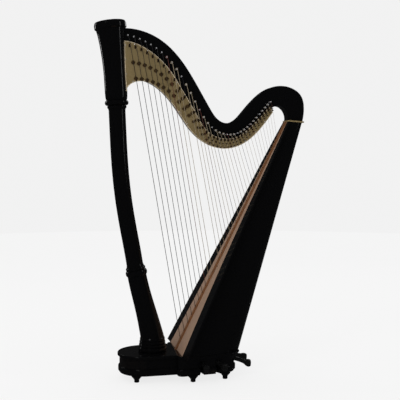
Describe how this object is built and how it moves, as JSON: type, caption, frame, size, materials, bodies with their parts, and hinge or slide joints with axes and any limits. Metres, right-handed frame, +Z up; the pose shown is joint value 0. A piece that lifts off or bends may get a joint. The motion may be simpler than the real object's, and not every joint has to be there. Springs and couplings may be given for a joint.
{
  "type": "concert harp",
  "caption": "Upright pedal harp with a bowed column, curved neck with brass action plates, tapered soundbox and sprung pedals that turn the string discs.",
  "frame": {"origin": "on the floor, under the middle of the harp's length and width", "axes": "+Z up; +X from the column towards the player's side; -Y the side that carries the strings and the tuning pins' string ends"},
  "size_m": [1.1204, 0.5024, 1.8495],
  "materials": {
    "black_lacquer": "high gloss black lacquer",
    "brass": "satin lacquered brass",
    "spruce": "clear satin lacquer",
    "walnut": "satin",
    "beech": "bare wood",
    "aluminium": "mill finish",
    "steel": "polished",
    "string_wire": "wound wire",
    "string_gut": "translucent gut",
    "pedal_enamel": "gloss black enamel"
  },
  "bodies": {
    "frame": {"base_shell": "black_lacquer", "base_top_board": "black_lacquer", "base_bottom_board": "black_lacquer", "base_moulding": "black_lacquer", "feet": "black_lacquer", "column_foot": "black_lacquer", "column_lower_ring": "black_lacquer", "column_shaft": "black_lacquer", "column_upper_ring": "black_lacquer", "capital": "black_lacquer", "neck": "black_lacquer", "soundbox_sides": "black_lacquer", "soundbox_back": "black_lacquer", "soundboard_border": "black_lacquer", "action_plate_left": "brass", "action_plate_right": "brass", "shoulder_plate": "brass", "base_bolts": "brass", "bridge_nuts": "brass", "string_discs": "brass", "soundboard": "spruce", "string_rib": "walnut", "inner_rib": "beech", "soundbox_braces": "aluminium", "action_rods": "steel", "pedal_pivot": "steel", "pedal_springs": "steel", "tuning_pins": "steel", "pedal_cables": "steel", "strings_wire": "string_wire", "strings_gut": "string_gut"},
    "pedal_d": {"pedal_d": "pedal_enamel"},
    "pedal_c": {"pedal_c": "pedal_enamel"},
    "pedal_b": {"pedal_b": "pedal_enamel"},
    "pedal_e": {"pedal_e": "pedal_enamel"},
    "pedal_f": {"pedal_f": "pedal_enamel"},
    "pedal_g": {"pedal_g": "pedal_enamel"},
    "pedal_a": {"pedal_a": "pedal_enamel"},
    "natural_disc_c": {"natural_disc_c": "brass"},
    "sharp_disc_c": {"sharp_disc_c": "brass"},
    "tuning_pin_c": {"tuning_pin_c": "steel"},
    "natural_disc_d": {"natural_disc_d": "brass"},
    "sharp_disc_d": {"sharp_disc_d": "brass"},
    "tuning_pin_d": {"tuning_pin_d": "steel"},
    "natural_disc_e": {"natural_disc_e": "brass"},
    "sharp_disc_e": {"sharp_disc_e": "brass"},
    "tuning_pin_e": {"tuning_pin_e": "steel"},
    "natural_disc_f": {"natural_disc_f": "brass"},
    "sharp_disc_f": {"sharp_disc_f": "brass"},
    "tuning_pin_f": {"tuning_pin_f": "steel"},
    "natural_disc_g": {"natural_disc_g": "brass"},
    "sharp_disc_g": {"sharp_disc_g": "brass"},
    "tuning_pin_g": {"tuning_pin_g": "steel"},
    "natural_disc_a": {"natural_disc_a": "brass"},
    "sharp_disc_a": {"sharp_disc_a": "brass"},
    "tuning_pin_a": {"tuning_pin_a": "steel"},
    "natural_disc_b": {"natural_disc_b": "brass"},
    "sharp_disc_b": {"sharp_disc_b": "brass"},
    "tuning_pin_b": {"tuning_pin_b": "steel"}
  },
  "joints": [
    {"name": "pedal_d_hinge", "type": "hinge", "parent": "frame", "child": "pedal_d", "pos_m": [-0.344, -0.042, 0.098], "axis": [0, 1, 0], "range_deg": [0, 6.86], "stiffness_Nm_per_rad": 10, "springref_deg": -45.84},
    {"name": "pedal_c_hinge", "type": "hinge", "parent": "frame", "child": "pedal_c", "pos_m": [-0.344, -0.028, 0.098], "axis": [0, 1, 0], "range_deg": [0, 5.22], "stiffness_Nm_per_rad": 10, "springref_deg": -45.84},
    {"name": "pedal_b_hinge", "type": "hinge", "parent": "frame", "child": "pedal_b", "pos_m": [-0.344, -0.014, 0.098], "axis": [0, 1, 0], "range_deg": [0, 3.77], "stiffness_Nm_per_rad": 10, "springref_deg": -45.84},
    {"name": "pedal_e_hinge", "type": "hinge", "parent": "frame", "child": "pedal_e", "pos_m": [-0.344, 0, 0.098], "axis": [0, 1, 0], "range_deg": [0, 3.7], "stiffness_Nm_per_rad": 10, "springref_deg": -45.84},
    {"name": "pedal_f_hinge", "type": "hinge", "parent": "frame", "child": "pedal_f", "pos_m": [-0.344, 0.014, 0.098], "axis": [0, 1, 0], "range_deg": [0, 4.21], "stiffness_Nm_per_rad": 10, "springref_deg": -45.84},
    {"name": "pedal_g_hinge", "type": "hinge", "parent": "frame", "child": "pedal_g", "pos_m": [-0.344, 0.028, 0.098], "axis": [0, 1, 0], "range_deg": [0, 5.42], "stiffness_Nm_per_rad": 10, "springref_deg": -45.84},
    {"name": "pedal_a_hinge", "type": "hinge", "parent": "frame", "child": "pedal_a", "pos_m": [-0.344, 0.042, 0.098], "axis": [0, 1, 0], "range_deg": [0, 7.75], "stiffness_Nm_per_rad": 10, "springref_deg": -45.84},
    {"name": "natural_disc_c_turn", "type": "hinge", "parent": "frame", "child": "natural_disc_c", "pos_m": [-0.16539, 0, 1.52838], "axis": [0, 1, 0], "range_deg": [0, 60]},
    {"name": "sharp_disc_c_turn", "type": "hinge", "parent": "frame", "child": "sharp_disc_c", "pos_m": [-0.15489, 0, 1.46911], "axis": [0, 1, 0], "range_deg": [0, 60]},
    {"name": "tuning_pin_c_turn", "type": "hinge", "parent": "frame", "child": "tuning_pin_c", "pos_m": [-0.19468, 0, 1.6644], "axis": [0, 1, 0], "continuous": true},
    {"name": "natural_disc_d_turn", "type": "hinge", "parent": "frame", "child": "natural_disc_d", "pos_m": [-0.1376, 0, 1.49413], "axis": [0, 1, 0], "range_deg": [0, 60]},
    {"name": "sharp_disc_d_turn", "type": "hinge", "parent": "frame", "child": "sharp_disc_d", "pos_m": [-0.12763, 0, 1.43882], "axis": [0, 1, 0], "range_deg": [0, 60]},
    {"name": "tuning_pin_d_turn", "type": "hinge", "parent": "frame", "child": "tuning_pin_d", "pos_m": [-0.1685, 0, 1.63702], "axis": [0, 1, 0], "continuous": true},
    {"name": "natural_disc_e_turn", "type": "hinge", "parent": "frame", "child": "natural_disc_e", "pos_m": [-0.11009, 0, 1.45484], "axis": [0, 1, 0], "range_deg": [0, 60]},
    {"name": "sharp_disc_e_turn", "type": "hinge", "parent": "frame", "child": "sharp_disc_e", "pos_m": [-0.10066, 0, 1.40374], "axis": [0, 1, 0], "range_deg": [0, 60]},
    {"name": "tuning_pin_e_turn", "type": "hinge", "parent": "frame", "child": "tuning_pin_e", "pos_m": [-0.14287, 0, 1.60482], "axis": [0, 1, 0], "continuous": true},
    {"name": "natural_disc_f_turn", "type": "hinge", "parent": "frame", "child": "natural_disc_f", "pos_m": [-0.08389, 0, 1.41646], "axis": [0, 1, 0], "range_deg": [0, 60]},
    {"name": "sharp_disc_f_turn", "type": "hinge", "parent": "frame", "child": "sharp_disc_f", "pos_m": [-0.07496, 0, 1.36946], "axis": [0, 1, 0], "range_deg": [0, 60]},
    {"name": "tuning_pin_f_turn", "type": "hinge", "parent": "frame", "child": "tuning_pin_f", "pos_m": [-0.11778, 0, 1.56784], "axis": [0, 1, 0], "continuous": true},
    {"name": "natural_disc_g_turn", "type": "hinge", "parent": "frame", "child": "natural_disc_g", "pos_m": [-0.05936, 0, 1.38136], "axis": [0, 1, 0], "range_deg": [0, 60]},
    {"name": "sharp_disc_g_turn", "type": "hinge", "parent": "frame", "child": "sharp_disc_g", "pos_m": [-0.05084, 0, 1.33825], "axis": [0, 1, 0], "range_deg": [0, 60]},
    {"name": "tuning_pin_g_turn", "type": "hinge", "parent": "frame", "child": "tuning_pin_g", "pos_m": [-0.09321, 0, 1.52694], "axis": [0, 1, 0], "continuous": true},
    {"name": "natural_disc_a_turn", "type": "hinge", "parent": "frame", "child": "natural_disc_a", "pos_m": [-0.03555, 0, 1.34596], "axis": [0, 1, 0], "range_deg": [0, 60]},
    {"name": "sharp_disc_a_turn", "type": "hinge", "parent": "frame", "child": "sharp_disc_a", "pos_m": [-0.02743, 0, 1.30672], "axis": [0, 1, 0], "range_deg": [0, 60]},
    {"name": "tuning_pin_a_turn", "type": "hinge", "parent": "frame", "child": "tuning_pin_a", "pos_m": [-0.06916, 0, 1.48388], "axis": [0, 1, 0], "continuous": true},
    {"name": "natural_disc_b_turn", "type": "hinge", "parent": "frame", "child": "natural_disc_b", "pos_m": [-0.01151, 0, 1.30743], "axis": [0, 1, 0], "range_deg": [0, 60]},
    {"name": "sharp_disc_b_turn", "type": "hinge", "parent": "frame", "child": "sharp_disc_b", "pos_m": [-0.00381, 0, 1.27219], "axis": [0, 1, 0], "range_deg": [0, 60]},
    {"name": "tuning_pin_b_turn", "type": "hinge", "parent": "frame", "child": "tuning_pin_b", "pos_m": [-0.04562, 0, 1.44051], "axis": [0, 1, 0], "continuous": true}
  ],
  "couplings": [
    {"joint": "natural_disc_c_turn", "follows": "pedal_c_hinge", "ratio": 11.475},
    {"joint": "sharp_disc_c_turn", "follows": "pedal_c_hinge", "ratio": 11.475},
    {"joint": "natural_disc_d_turn", "follows": "pedal_d_hinge", "ratio": 8.7318},
    {"joint": "sharp_disc_d_turn", "follows": "pedal_d_hinge", "ratio": 8.7318},
    {"joint": "natural_disc_e_turn", "follows": "pedal_e_hinge", "ratio": 16.189},
    {"joint": "sharp_disc_e_turn", "follows": "pedal_e_hinge", "ratio": 16.189},
    {"joint": "natural_disc_f_turn", "follows": "pedal_f_hinge", "ratio": 14.228},
    {"joint": "sharp_disc_f_turn", "follows": "pedal_f_hinge", "ratio": 14.228},
    {"joint": "natural_disc_g_turn", "follows": "pedal_g_hinge", "ratio": 11.052},
    {"joint": "sharp_disc_g_turn", "follows": "pedal_g_hinge", "ratio": 11.052},
    {"joint": "natural_disc_a_turn", "follows": "pedal_a_hinge", "ratio": 7.729},
    {"joint": "sharp_disc_a_turn", "follows": "pedal_a_hinge", "ratio": 7.729},
    {"joint": "natural_disc_b_turn", "follows": "pedal_b_hinge", "ratio": 15.889},
    {"joint": "sharp_disc_b_turn", "follows": "pedal_b_hinge", "ratio": 15.889}
  ]
}
